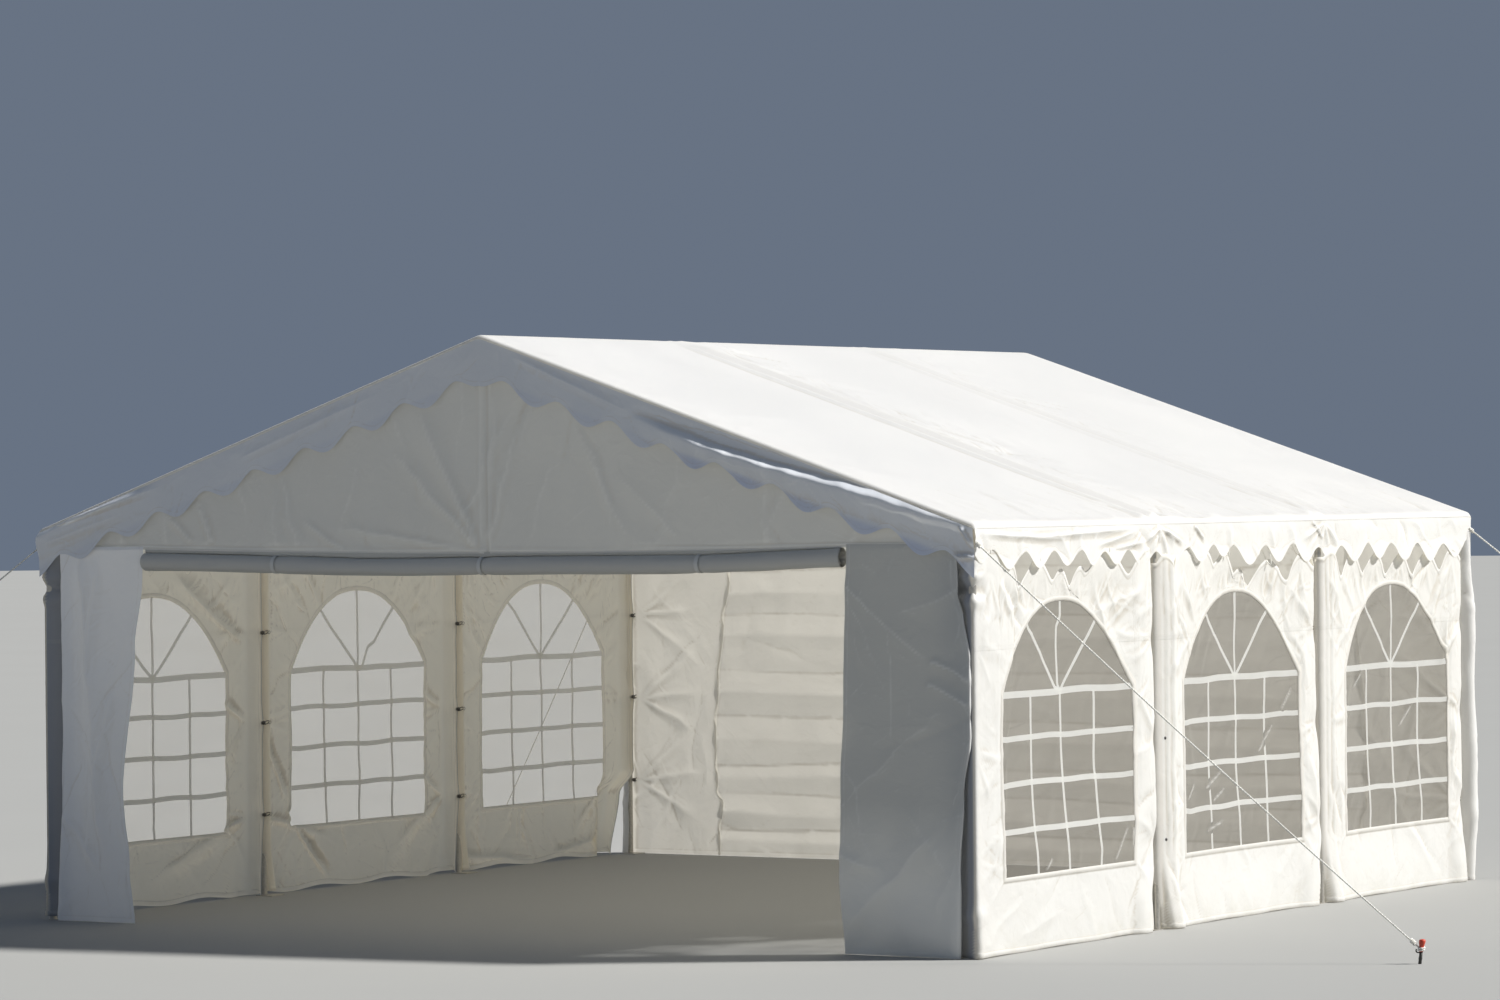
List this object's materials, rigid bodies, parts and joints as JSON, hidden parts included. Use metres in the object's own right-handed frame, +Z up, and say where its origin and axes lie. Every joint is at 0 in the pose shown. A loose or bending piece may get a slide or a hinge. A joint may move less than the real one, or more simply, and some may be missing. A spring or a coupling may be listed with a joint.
{
  "type": "marquee tent",
  "caption": "White frame marquee with a gable roof, scalloped valances, arched window panels, a rolled-up front door, a closed rear door, guy ropes and ground pegs.",
  "frame": {"origin": "middle of the plan at ground level, the middle of the base of the box around the tent and its pegs", "axes": "+Z up; +Y along the ridge from the open front end to the rear; +X to the right as seen from the front"},
  "size_m": [10.152, 9.032, 3.1979],
  "materials": {
    "cover_fabric": "white coated woven sheet, lightly creased, semi-matt",
    "wall_fabric": "white coated woven sheet, creased and translucent",
    "window_film": "hazy clear film with printed white glazing bars",
    "steel_tube": "white powder-coated tube, slightly scuffed",
    "guy_rope": "off-white braided rope",
    "peg": "black peg with an orange-red head"
  },
  "bodies": {
    "root": {"leg_left_1": "steel_tube", "rafter_left_1": "steel_tube", "leg_left_2": "steel_tube", "rafter_left_2": "steel_tube", "leg_left_3": "steel_tube", "rafter_left_3": "steel_tube", "leg_left_4": "steel_tube", "rafter_left_4": "steel_tube", "eave_rail_left": "steel_tube", "roof_slope_left": "cover_fabric", "eave_valance_left": "cover_fabric", "side_panel_left_1": "wall_fabric", "window_film_left_1": "window_film", "side_panel_left_2": "wall_fabric", "window_film_left_2": "window_film", "side_panel_left_3": "wall_fabric", "window_film_left_3": "window_film", "front_flap_left": "wall_fabric", "leg_right_1": "steel_tube", "rafter_right_1": "steel_tube", "leg_right_2": "steel_tube", "rafter_right_2": "steel_tube", "leg_right_3": "steel_tube", "rafter_right_3": "steel_tube", "leg_right_4": "steel_tube", "rafter_right_4": "steel_tube", "eave_rail_right": "steel_tube", "roof_slope_right": "cover_fabric", "eave_valance_right": "cover_fabric", "side_panel_right_1": "wall_fabric", "window_film_right_1": "window_film", "side_panel_right_2": "wall_fabric", "window_film_right_2": "window_film", "side_panel_right_3": "wall_fabric", "window_film_right_3": "window_film", "front_flap_right": "wall_fabric", "ridge_rail": "steel_tube", "gable_valance_front": "cover_fabric", "gable_valance_rear": "cover_fabric", "front_gable_panel": "wall_fabric", "front_door_roll": "wall_fabric", "rear_end_wall": "wall_fabric", "rear_door": "wall_fabric", "guy_rope_front_left": "guy_rope", "peg_front_left": "peg", "guy_rope_front_right": "guy_rope", "peg_front_right": "peg", "guy_rope_rear_left": "guy_rope", "peg_rear_left": "peg", "guy_rope_rear_right": "guy_rope", "peg_rear_right": "peg"}
  },
  "joints": []
}
